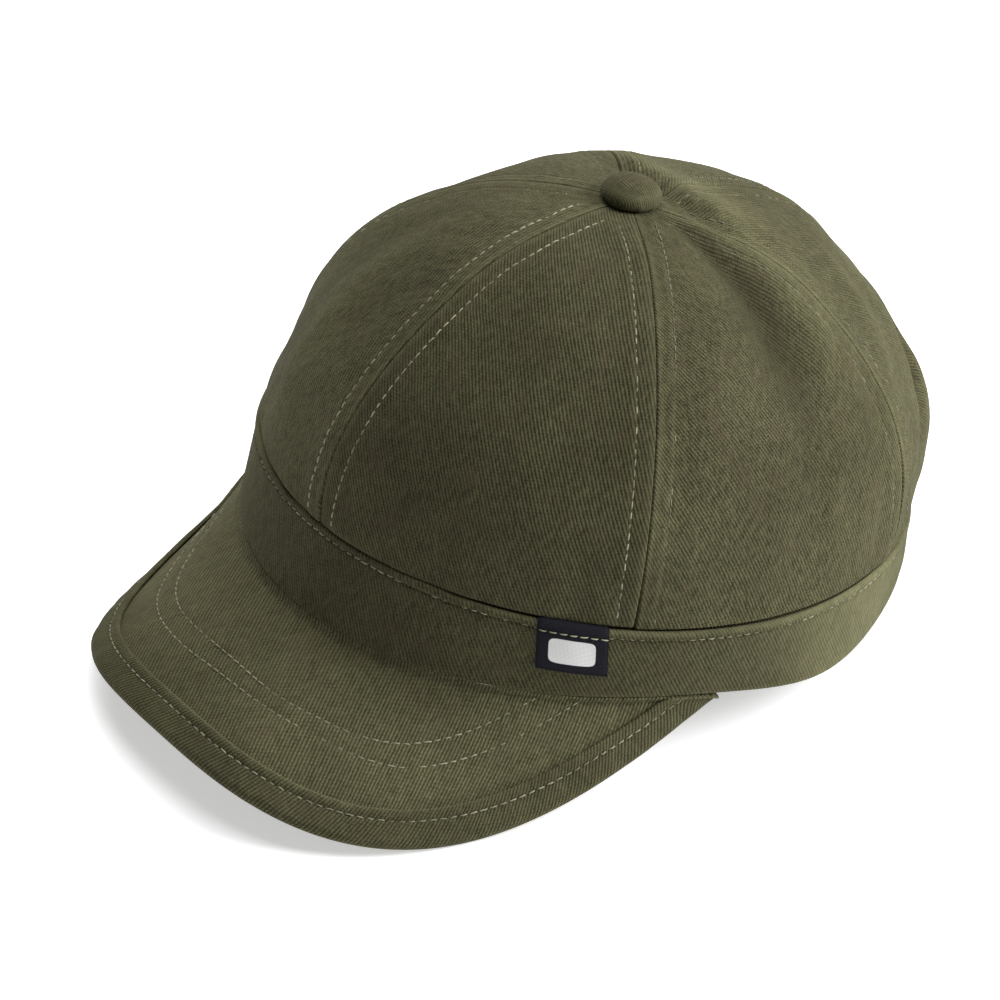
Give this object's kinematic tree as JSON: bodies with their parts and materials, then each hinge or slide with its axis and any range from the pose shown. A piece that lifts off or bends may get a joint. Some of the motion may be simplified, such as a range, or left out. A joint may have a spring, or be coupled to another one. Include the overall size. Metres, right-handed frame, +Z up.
{
  "type": "short-peaked six-panel cloth cap",
  "caption": "Soft six-panel cotton twill cap with a folded band, a short bound peak, a covered button and a small woven label.",
  "frame": {"origin": "middle of the bounding box, on the surface that the cap rests on", "axes": "+Z up, the peak towards -Y, the wearer's left towards +X"},
  "size_m": [0.186, 0.2618, 0.1302],
  "materials": {
    "crown_twill": "washed olive cotton twill with faint brown mottling",
    "band_twill": "washed olive cotton twill, doubled, top-stitched under the fold",
    "peak_twill": "washed olive cotton twill over a board, top-stitched",
    "label_weave": "black woven tape with a plain pale woven field"
  },
  "bodies": {
    "root": {"panel_front_left": "crown_twill", "panel_side_left": "crown_twill", "panel_back_left": "crown_twill", "panel_back_right": "crown_twill", "panel_side_right": "crown_twill", "panel_front_right": "crown_twill", "band": "band_twill", "peak": "peak_twill", "peak_binding": "peak_twill", "button": "crown_twill", "label": "label_weave"}
  },
  "joints": []
}
